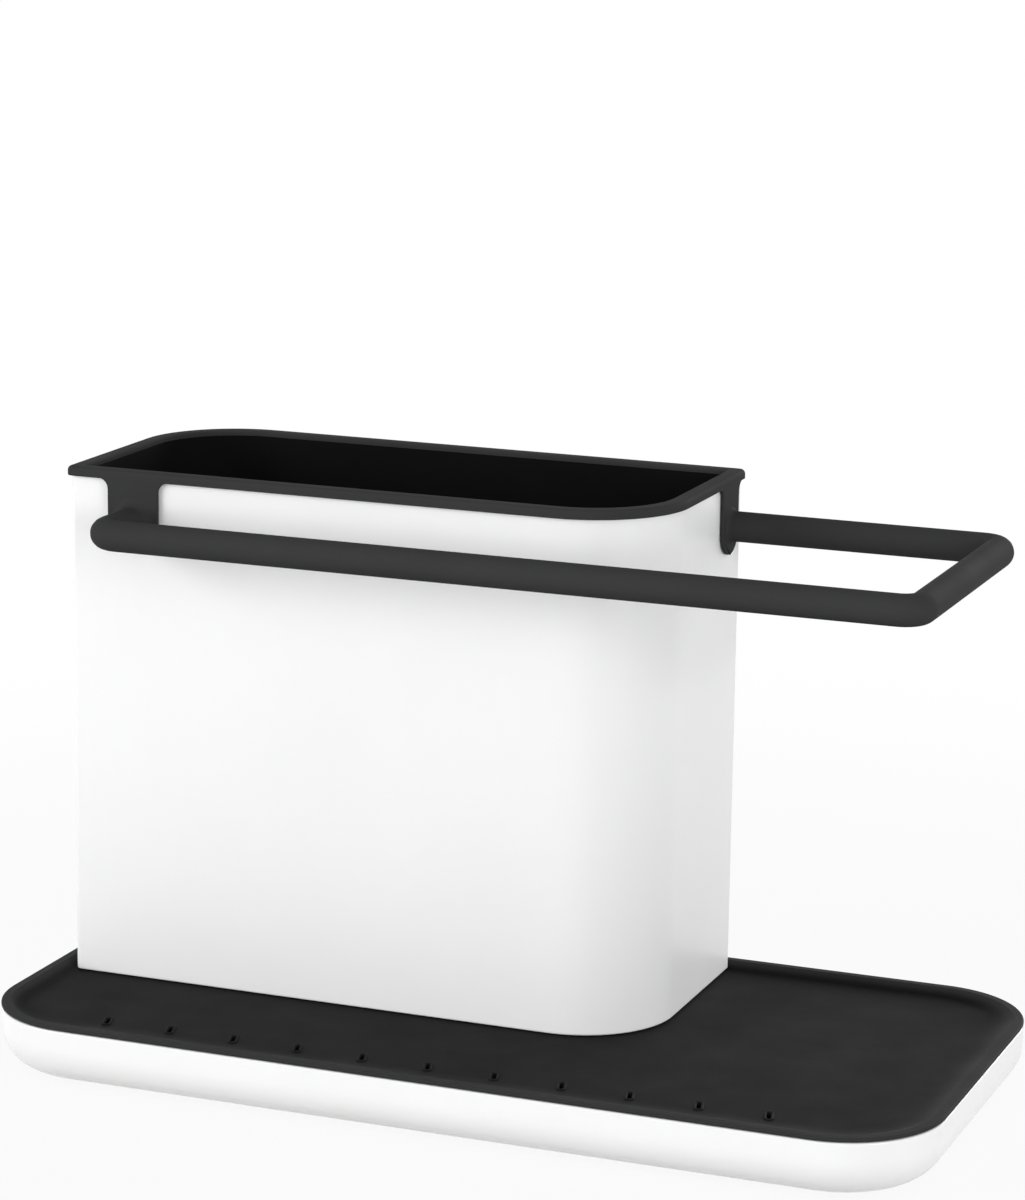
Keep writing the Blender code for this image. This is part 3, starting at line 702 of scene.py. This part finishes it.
base = moulding("base_tray_shell", tray_plan, [
    (BASE_FLAT_FROM, base_under, 0), (0, base_under, BASE_CURL), (0, base_rim, SOFT_EDGE),
    (BASE_WALL, base_rim, SOFT_EDGE), (BASE_WALL, base_under + BASE_FLOOR, BASE_CURL - BASE_WALL),
    (BASE_FLAT_FROM, base_under + BASE_FLOOR, 0),
])
print("base wall stands", round((base_rim - base_under) / MM, 1), "mm high")

# %% Press the foot pockets
POCKET_DEPTH = 0.8 * MM
POCKET_CLEARANCE = 0.3 * MM

pockets = Recipe("foot_pockets", {
    **FOOT_SPACING, "Pocket radius": foot_radius + POCKET_CLEARANCE,
    "Pocket height": 2 * (base_under + POCKET_DEPTH), "Finish": gloss_white,
})
disc = pockets.node("GeometryNodeMeshCylinder", {
    "Vertices": TURN_STEPS, "Radius": pockets.given["Pocket radius"],
    "Depth": pockets.given["Pocket height"],
})
combine(base, pockets.serve(at_four_corners(pockets, disc), "pocket_cutters"), "DIFFERENCE")
finish_piece(base, gloss_white, "base", ["base_tray"])

# %% [markdown]
# ## The drip tray
#
# The charcoal tray hangs in the base by a narrow border. Inside the border the surface dips to a flat
# floor: gently along the front and right, and steeply at the left and back, where the container stands.
# A subdivided cage could dip too, but its rim would drift off the border. A stack of outlines holds both,
# when each side moves in by its own distance.

# %% Mould the drip tray
DISH_STEPS = 16
DISH_DEPTH = 2.4 * MM
DISH_RUN = {"left": 2.8 * MM, "front": 11 * MM, "right": 11 * MM, "back": 0.3 * MM}
FLANGE_WIDTH = 2.6 * MM
FLANGE_THICK = 1.0 * MM
FLANGE_JOIN = 0.2 * MM
BODY_INSET = 1.9 * MM
BODY_EDGE = 0.8 * MM
DRIP_FLAT_FROM = 12 * MM
FLOOR_CORNER = 14 * MM
FLOOR_BACK_CORNER = 16 * MM
FINE_EDGE = 0.3 * MM
LIP_EDGE = 0.25 * MM
drip_under, drip_top = (corner.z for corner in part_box("drip_tray"))
drip_floor = drip_top - DISH_DEPTH
flange_under = drip_top - FLANGE_THICK


def dish_ring(share):
    """The dip's outline at a share of the way from its floor, 0, to the border, 1."""
    edge = tray_plan.inset(FLANGE_WIDTH)
    rim_radius = edge.radii[0]
    floor_radii = (FLOOR_CORNER, FLOOR_CORNER, FLOOR_BACK_CORNER, rim_radius - DISH_RUN["back"])
    flat = 1 - share
    plan = Plan(
        edge.left + DISH_RUN["left"] * flat, edge.front + DISH_RUN["front"] * flat,
        edge.right - DISH_RUN["right"] * flat, edge.back - DISH_RUN["back"] * flat,
        [rim_radius * share + radius * flat for radius in floor_radii],
    )
    height = drip_floor + DISH_DEPTH * share**2
    return [(x, y, height) for x, y in plan.points()]


border = softened([
    (DRIP_FLAT_FROM, drip_under, 0), (BODY_INSET, drip_under, BODY_EDGE),
    (BODY_INSET, flange_under, FINE_EDGE), (0, flange_under, LIP_EDGE),
    (0, drip_top, SOFT_EDGE), (FLANGE_WIDTH - FLANGE_JOIN, drip_top, 0),
])
rings = [[(x, y, height) for x, y in tray_plan.inset(inset).points()] for inset, height in border]
rings += [dish_ring(1 - step / DISH_STEPS) for step in range(DISH_STEPS + 1)]
drip = skin("drip_tray_moulding", rings)
print("the drip tray's floor lies", round(drip_floor / MM, 1), "mm up")

# %% [markdown]
# A low rib on the floor stands just inside the container's hollow foot and keeps it from sliding. It
# follows the container's own outline: two round corners and two tight ones, like a leaf.

# %% Add the locating rib
LEAF_TIGHT = 2.5 * MM
LEAF_ROUND = 28 * MM
LEAF_RADII = [LEAF_TIGHT, LEAF_ROUND, LEAF_TIGHT, LEAF_ROUND]
RIM_OVERHANG = 1.3 * MM
CONTAINER_WALL = 1.6 * MM
RIB_GAP = 0.3 * MM
RIB_THICK = 1.2 * MM
RIB_EDGE = 0.4 * MM
RIB_HEIGHT = 1.5 * MM
RIB_SUNK = 0.4 * MM

container_plan = plan_of("container", [radius - RIM_OVERHANG for radius in LEAF_RADII])
rib_top, rib_root = drip_floor + RIB_HEIGHT, drip_floor - RIB_SUNK
rib_out = CONTAINER_WALL + RIB_GAP
rib_in = rib_out + RIB_THICK
rib = moulding("rib", container_plan, [
    (rib_out, rib_root, 0), (rib_out, rib_top, RIB_EDGE), (rib_in, rib_top, RIB_EDGE), (rib_in, rib_root, 0),
], band=True)
combine(drip, rib, "UNION")
print("the rib's top lies", round(rib_top / MM, 1), "mm up")

# %% [markdown]
# Water leaves through a row of short slots along the front. A slot could be two holes and a box between
# them. Here it is a cylinder pulled apart: every point in its back half moves back and every point in
# its front half moves forward. The same trick on a circle gives the path of the fine raised lip round
# each slot, which is what catches the light.

# %% Cut the slots and raise their lips
SLOT_SIZES = {
    "Count": 11, "Pitch": 18.7 * MM, "Slot width": 1.1 * MM, "Slot length": 4.8 * MM,
    "Lean": math.radians(16), "Middle across": -3.9 * MM, "Middle along": -50.1 * MM,
}
SLOT_SIDES = 18
LIP_SIDES = 10
LIP_RADIUS = 0.42 * MM
CUT_HEIGHT = 6 * MM
# half a side's turn keeps every point of a round shape off the line where it is pulled apart
HALF_SIDE_TURN = (0, 0, math.pi / SLOT_SIDES)


def pulled(recipe, slot):
    """Pulls a round shape apart into a slot and turns it to its lean."""
    given = recipe.given
    point = recipe.node("GeometryNodeInputPosition", {})
    along = recipe.node("ShaderNodeSeparateXYZ", {"Vector": point}, output="Y")
    straight = recipe.reckon("SUBTRACT", given["Slot length"], given["Slot width"])
    reach = recipe.reckon("MULTIPLY", straight, 0.5)
    pull = recipe.reckon("MULTIPLY", recipe.reckon("SIGN", along), reach)
    offset = recipe.node("ShaderNodeCombineXYZ", {"Y": pull})
    slot = recipe.node("GeometryNodeSetPosition", {"Geometry": slot, "Offset": offset})
    lean = recipe.node("ShaderNodeCombineXYZ", {"Z": given["Lean"]})
    return recipe.node("GeometryNodeTransform", {"Geometry": slot, "Rotation": lean})


def set_row(recipe, shape):
    """One shape at each place of the row."""
    given = recipe.given
    gaps = recipe.reckon("SUBTRACT", given["Count"], 1)
    length = recipe.reckon("MULTIPLY", gaps, given["Pitch"])
    first = recipe.reckon("SUBTRACT", given["Middle across"], recipe.reckon("MULTIPLY", length, 0.5))
    start = recipe.node("ShaderNodeCombineXYZ", {
        "X": first, "Y": given["Middle along"], "Z": given["Height"],
    })
    step = recipe.node("ShaderNodeCombineXYZ", {"X": given["Pitch"]})
    row = recipe.node("GeometryNodeMeshLine", {
        "Count": given["Count"], "Start Location": start, "Offset": step,
    })
    return recipe.node("GeometryNodeInstanceOnPoints", {"Points": row, "Instance": shape})


cutting = Recipe("slot_cutters", {**SLOT_SIZES, "Height": drip_floor, "Finish": tray_charcoal})
half_width = cutting.reckon("MULTIPLY", cutting.given["Slot width"], 0.5)
peg = cutting.node("GeometryNodeMeshCylinder", {
    "Vertices": SLOT_SIDES, "Radius": half_width, "Depth": CUT_HEIGHT,
})
peg = cutting.node("GeometryNodeTransform", {"Geometry": peg, "Rotation": HALF_SIDE_TURN})
slots = cutting.serve(set_row(cutting, pulled(cutting, peg)), "slot_cutters")

raising = Recipe("slot_lips", {
    **SLOT_SIZES, "Lip radius": LIP_RADIUS, "Height": drip_floor, "Finish": tray_charcoal,
})
half_width = raising.reckon("MULTIPLY", raising.given["Slot width"], 0.5)
loop = raising.node("GeometryNodeCurvePrimitiveCircle", {
    "Resolution": SLOT_SIDES, "Radius": raising.reckon("ADD", half_width, raising.given["Lip radius"]),
}, output="Curve")
loop = raising.node("GeometryNodeTransform", {"Geometry": loop, "Rotation": HALF_SIDE_TURN})
bead = raising.node("GeometryNodeCurvePrimitiveCircle", {
    "Resolution": LIP_SIDES, "Radius": raising.given["Lip radius"],
}, output="Curve")
lip = raising.node("GeometryNodeCurveToMesh", {"Curve": pulled(raising, loop), "Profile Curve": bead})
lips = raising.serve(set_row(raising, lip), "slot_lips")

combine(drip, lips, "UNION")
combine(drip, slots, "DIFFERENCE")
finish_piece(drip, tray_charcoal, "drip_tray", ["drip_tray"])

# %% [markdown]
# ## The container
#
# The container is a tall thin-walled box with straight sides. Its wall runs on below its floor as a
# hollow foot. Solidify could give an open box its wall, but not the foot. One section that goes up the
# outside and down the inside has both, and a rounded rim. Rows of round holes in the floor let water
# down on to the drip tray.

# %% Mould the container
CONTAINER_FLOOR = 1.8 * MM
CONTAINER_FOOT = 2.0 * MM
CONTAINER_INNER_ROUND = 1.2 * MM
FLOOR_FLAT_FROM = 8 * MM
container_low, container_high = (corner.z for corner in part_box("container"))
under_floor = container_low + CONTAINER_FOOT
floor_top = under_floor + CONTAINER_FLOOR

container = moulding("container_shell", container_plan, [
    (FLOOR_FLAT_FROM, under_floor, 0), (CONTAINER_WALL, under_floor, SOFT_EDGE),
    (CONTAINER_WALL, container_low, FINE_EDGE), (0, container_low, SOFT_EDGE),
    (0, container_high, FINE_EDGE), (CONTAINER_WALL, container_high, FINE_EDGE),
    (CONTAINER_WALL, floor_top, CONTAINER_INNER_ROUND), (FLOOR_FLAT_FROM, floor_top, 0),
])
print("the container is", round((container_high - container_low) / MM, 1), "mm tall")

# %% Drill the drain holes
HOLE_RADIUS = 1.9 * MM
HOLE_PITCH = 20 * MM
HOLE_MARGIN = 12.2 * MM
HOLE_SIDES = 24
cavity = container_plan.inset(CONTAINER_WALL + HOLE_MARGIN)


def drain_pegs(name, low, high, finish):
    """A grid of round pegs from one height to another, to cut drain holes with."""
    across = cavity.right - cavity.left
    along = cavity.back - cavity.front
    recipe = Recipe(name, {
        "Columns": int(across / HOLE_PITCH) + 1, "Rows": int(along / HOLE_PITCH) + 1,
        "Width": across, "Depth": along, "Hole radius": HOLE_RADIUS, "Peg height": high - low,
        "Finish": finish,
    })
    given = recipe.given
    grid = recipe.node("GeometryNodeMeshGrid", {
        "Size X": given["Width"], "Size Y": given["Depth"],
        "Vertices X": given["Columns"], "Vertices Y": given["Rows"],
    })
    middle = ((cavity.left + cavity.right) / 2, (cavity.front + cavity.back) / 2, (low + high) / 2)
    grid = recipe.node("GeometryNodeTransform", {"Geometry": grid, "Translation": middle})
    peg = recipe.node("GeometryNodeMeshCylinder", {
        "Vertices": HOLE_SIDES, "Radius": given["Hole radius"], "Depth": given["Peg height"],
    })
    return recipe.serve(at_points(recipe, grid, peg), name)


pegs = drain_pegs("container_pegs", under_floor - MM, floor_top + MM, satin_white)
combine(container, pegs, "DIFFERENCE")
finish_piece(container, satin_white, "container", ["container"])

# %% [markdown]
# ## The lining
#
# The charcoal lining stands in the container and is why the inside looks so dark. Dark paint on the
# container's inside would look alike, but the real one lifts out. It is the same kind of box, thinner,
# and its floor has the same holes. Its rim stands a quarter of a millimetre above its CAD part's, which
# closes the fine gap under the frame's band. Four upright ribs make two slots for the divider.

# %% Mould the lining
LINER_WALL = 1.0 * MM
LINER_FLOOR = 1.2 * MM
LINER_INSIDE = 3.2 * MM
LINER_RISE = 0.25 * MM
LINER_EDGE = 0.2 * MM
LINER_INNER_ROUND = 1.5 * MM
liner_low, liner_high = (corner.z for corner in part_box("inner_liner"))
liner_high += LINER_RISE
liner_floor = liner_low + LINER_FLOOR
liner_plan = plan_of("inner_liner", [max(radius - LINER_INSIDE, LEAST_RADIUS) for radius in LEAF_RADII])

liner = moulding("liner_shell", liner_plan, [
    (FLOOR_FLAT_FROM, liner_low, 0), (0, liner_low, SOFT_EDGE), (0, liner_high, LINER_EDGE),
    (LINER_WALL, liner_high, LINER_EDGE), (LINER_WALL, liner_floor, LINER_INNER_ROUND),
    (FLOOR_FLAT_FROM, liner_floor, 0),
])
print("the lining is", round((liner_high - liner_low) / MM, 1), "mm tall")

# %% Slabs for flat pieces
LEAST_SPREAD = 0.5


def shrunk(line, depth):
    """Moves every point of a closed anticlockwise line inwards, at most twice the depth at a corner."""
    moved = []
    for index, here in enumerate(line):
        towards = (here - line[index - 1]).normalized()
        away = (line[(index + 1) % len(line)] - here).normalized()
        along = (towards + away).normalized()
        spread = max(along.dot(away), LEAST_SPREAD)
        moved.append(here + Vector((-along.y, along.x)) * depth / spread)
    return moved


def slab(name, corners, thick, edge, place):
    """A plate with a softened outline and rounded edges. place(u, v, w) puts a point in the frame."""
    line = softened(corners, closed=True)
    side = softened([(edge * 2, 0, 0), (0, 0, edge), (0, thick, edge), (edge * 2, thick, 0)])
    rings = []
    for depth, height in side[1:-1]:
        rings.append([place(u, v, height) for u, v in shrunk(line, depth)])
    piece = skin(name, rings)
    work = bmesh.new()
    work.from_mesh(piece.data)
    bmesh.ops.remove_doubles(work, verts=work.verts, dist=WELD)
    bmesh.ops.recalc_face_normals(work, faces=work.faces)
    work.to_mesh(piece.data)
    work.free()
    return piece


square = [Vector(corner) * 10 * MM for corner in ((0, 0), (1, 0), (1, 1), (0, 1))]
corner = shrunk(square, MM)[0]
print("a square's first corner, moved in by 1 mm:", [round(value / MM, 2) for value in corner])

# %% Add the divider's guides
GUIDE_THICK = 1.2 * MM
GUIDE_PROUD = 1.8 * MM
GUIDE_GAP = 0.3 * MM
GUIDE_ROOT = 0.4 * MM
GUIDE_TOP_ROUND = 0.6 * MM
GUIDE_EDGE = 0.2 * MM
divider_low, divider_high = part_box("divider")
bay = liner_plan.inset(LINER_WALL)


def guide(left, back_wall):
    """One upright rib on the front or the back wall of the lining."""
    wall, inward = (bay.back, -1) if back_wall else (bay.front, 1)
    tip = wall + inward * GUIDE_PROUD
    root = wall - inward * GUIDE_ROOT
    foot = liner_floor - GUIDE_ROOT
    outline = [
        (root, foot, 0), (tip, foot, 0), (tip, divider_high.z, GUIDE_TOP_ROUND),
        (root, divider_high.z, 0),
    ]
    if back_wall:
        outline.reverse()
    return slab("guide", outline, GUIDE_THICK, GUIDE_EDGE, lambda u, v, w: (left + w, u, v))


for left in (divider_low.x - GUIDE_GAP - GUIDE_THICK, divider_high.x + GUIDE_GAP):
    for back_wall in (False, True):
        combine(liner, guide(left, back_wall), "UNION")
pegs = drain_pegs("liner_pegs", liner_low - MM, liner_floor + MM, liner_charcoal)
combine(liner, pegs, "DIFFERENCE")
finish_piece(liner, liner_charcoal, "liner", ["inner_liner"])

# %% [markdown]
# ## The divider
#
# A plain plate parts the two bays. Its top corners are round, and a dip in its top edge gives two
# fingers room to lift it. An arc would meet the edge at a corner. The dip is one wave of a cosine, which
# runs level at both of its ends.

# %% Make the divider
DIVIDER_CORNER = 8 * MM
GRIP_WIDTH = 22 * MM
GRIP_DEPTH = 9 * MM
GRIP_STEPS = 24
middle = (divider_low.y + divider_high.y) / 2
outline = [(divider_low.y, divider_low.z, SOFT_EDGE), (divider_high.y, divider_low.z, SOFT_EDGE)]
outline.append((divider_high.y, divider_high.z, DIVIDER_CORNER))
for step in range(GRIP_STEPS + 1):
    share = step / GRIP_STEPS
    fall = GRIP_DEPTH * (1 - math.cos(math.tau * share)) / 2
    outline.append((middle + GRIP_WIDTH * (0.5 - share), divider_high.z - fall, 0))
outline.append((divider_low.y, divider_high.z, DIVIDER_CORNER))

divider = slab(
    "divider_plate", outline, divider_high.x - divider_low.x, SOFT_EDGE,
    lambda u, v, w: (divider_low.x + w, u, v),
)
finish_piece(divider, liner_charcoal, "divider", ["divider"])

# %% [markdown]
# ## The frame and its rail
#
# The frame caps the container with a flat band and a short lip outside. At the left of the front and at
# the back of the right side a tab hangs from the lip, and the rail grows out of the tabs. In the
# photograph no joint shows between them, and separate pieces would leave a fine dark seam at each tab.
# So here they are one moulding: the band, two tabs and a swept bar, joined.

# %% Mould the band
RIM_WIDTH = 4.4 * MM
RIM_PLATE = 1.6 * MM
RIM_LIP = 2.6 * MM
RIM_SKIRT = 1.0 * MM
RIM_OUTER_ROUND = 1.2 * MM
RIM_INNER_ROUND = 0.6 * MM
RIM_SKIRT_EDGE = 0.15 * MM
rim_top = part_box("rim_frame")[1].z
rim_plan = Plan(
    container_plan.left - RIM_OVERHANG, container_plan.front - RIM_OVERHANG,
    container_plan.right + RIM_OVERHANG, container_plan.back + RIM_OVERHANG, LEAF_RADII,
)
lip_z = rim_top - RIM_LIP
plate_z = rim_top - RIM_PLATE

rim = moulding("rim_and_rail", rim_plan, [
    (0, lip_z, LIP_EDGE), (0, rim_top, RIM_OUTER_ROUND), (RIM_WIDTH, rim_top, RIM_INNER_ROUND),
    (RIM_WIDTH, plate_z, LIP_EDGE), (RIM_SKIRT, plate_z, 0), (RIM_SKIRT, lip_z, RIM_SKIRT_EDGE),
], band=True)
print("the frame's top lies", round(rim_top / MM, 1), "mm up")

# %% Hang the tabs
LEFT_TAB_WIDTH = 15.2 * MM
RIGHT_TAB_WIDTH = 13 * MM
TAB_BELOW_RAIL = 8 * MM
TAB_FILLET = 2.8 * MM
TAB_THICK = 0.9 * MM
TAB_EAR = 1.3 * TAB_FILLET
TAB_INTO_LIP = 0.05 * MM
TAB_UP_THE_LIP = 0.9 * MM
rail_low, rail_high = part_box("towel_rail")
bar_radius = (rail_high.z - rail_low.z) / 2
rail_z = (rail_high.z + rail_low.z) / 2
left_tab_x = rail_low.x + bar_radius
right_tab_y = rail_high.y - bar_radius


def tab_corners(along, width):
    """A tab that hangs from the lip, with a round end below the rail and a fillet on each side."""
    half = width / 2
    ear = half + TAB_EAR
    meet = lip_z + TAB_INTO_LIP
    inside = meet + TAB_UP_THE_LIP
    end = rail_z - TAB_BELOW_RAIL
    return [
        (along - ear, inside, 0), (along - ear, meet, 0), (along - half, meet, TAB_FILLET),
        (along - half, end, half), (along + half, end, half), (along + half, meet, TAB_FILLET),
        (along + ear, meet, 0), (along + ear, inside, 0),
    ]


front_tab = slab(
    "front_tab", tab_corners(left_tab_x, LEFT_TAB_WIDTH), TAB_THICK, FINE_EDGE,
    lambda u, v, w: (u, rim_plan.front + w, v),
)
right_tab = slab(
    "right_tab", tab_corners(right_tab_y, RIGHT_TAB_WIDTH), TAB_THICK, FINE_EDGE,
    lambda u, v, w: (rim_plan.right - w, u, v),
)
combine(rim, front_tab, "UNION")
combine(rim, right_tab, "UNION")
print("the tabs end", round((rail_z - TAB_BELOW_RAIL) / MM, 1), "mm up")

# %% [markdown]
# The rail follows a path: out of the left tab, along the front, back along the right, and into the right
# tab. A curve with a round bevel would be a bar of one thickness, and this bar isn't. Where it meets a
# tab it swells in a quarter of an ellipse, so that it leaves the tab's face flat and ends in line with
# the bar. A recipe sweeps a circle along the path, and an attribute on the path's points says how far
# it swells at each.

# %% Draw the rail's path
BEND_RADIUS = 5 * MM
# each swelling: its radius at the tab, and how far it reaches along the bar
LEFT_FLARE = (7.1 * MM, 3 * MM)
RIGHT_FLARE = (5.6 * MM, 1.6 * MM)
FLARE_STEPS = 10
ROOT_DEPTH = 0.5 * MM
rail_front = rail_low.y + bar_radius
rail_right = rail_high.x - bar_radius


def flare(root_radius, length):
    """Distances from a tab's face and the bar's radius there, from inside the tab outwards."""
    steps = [(-ROOT_DEPTH, root_radius)]
    for step in range(FLARE_STEPS + 1):
        angle = math.pi / 2 * (1 - step / FLARE_STEPS)
        distance = length * (1 - math.sin(angle))
        steps.append((distance, root_radius - (root_radius - bar_radius) * math.cos(angle)))
    return steps


path = [((left_tab_x, rim_plan.front - distance), radius) for distance, radius in flare(*LEFT_FLARE)]
bends = softened([
    (left_tab_x, rim_plan.front, 0), (left_tab_x, rail_front, BEND_RADIUS),
    (rail_right, rail_front, BEND_RADIUS), (rail_right, right_tab_y, BEND_RADIUS),
    (rim_plan.right, right_tab_y, 0),
])
path += [(tuple(point), bar_radius) for point in bends[1:-1]]
end = reversed(flare(*RIGHT_FLARE))
path += [((rim_plan.right + distance, right_tab_y), radius) for distance, radius in end]

route = bpy.data.meshes.new("rail_route")
stations = [(x, y, rail_z) for (x, y), radius in path]
route.from_pydata(stations, [(step, step + 1) for step in range(len(path) - 1)], [])
swell = route.attributes.new("swell", "FLOAT", "POINT")
swell.data.foreach_set("value", [radius / bar_radius for point, radius in path])
print("the rail's path has", len(path), "points")

# %% Sweep the rail
BAR_SIDES = 44

sweep = Recipe("rail_sweep", {"Bar radius": bar_radius, "Sides": BAR_SIDES, "Finish": frame_charcoal})
line = sweep.node("GeometryNodeMeshToCurve", {"Mesh": sweep.given["Geometry"]})
ring = sweep.node("GeometryNodeCurvePrimitiveCircle", {
    "Resolution": sweep.given["Sides"], "Radius": sweep.given["Bar radius"],
}, output="Curve")
swelling = sweep.node(
    "GeometryNodeInputNamedAttribute", {"Name": "swell"}, output="Attribute", data_type="FLOAT",
)
bar = sweep.node("GeometryNodeCurveToMesh", {
    "Curve": line, "Profile Curve": ring, "Scale": swelling, "Fill Caps": True,
})
rail = sweep.serve(bar, "rail", route)
combine(rim, rail, "UNION")
finish_piece(rim, frame_charcoal, "top_frame", ["rim_frame", "towel_rail"])
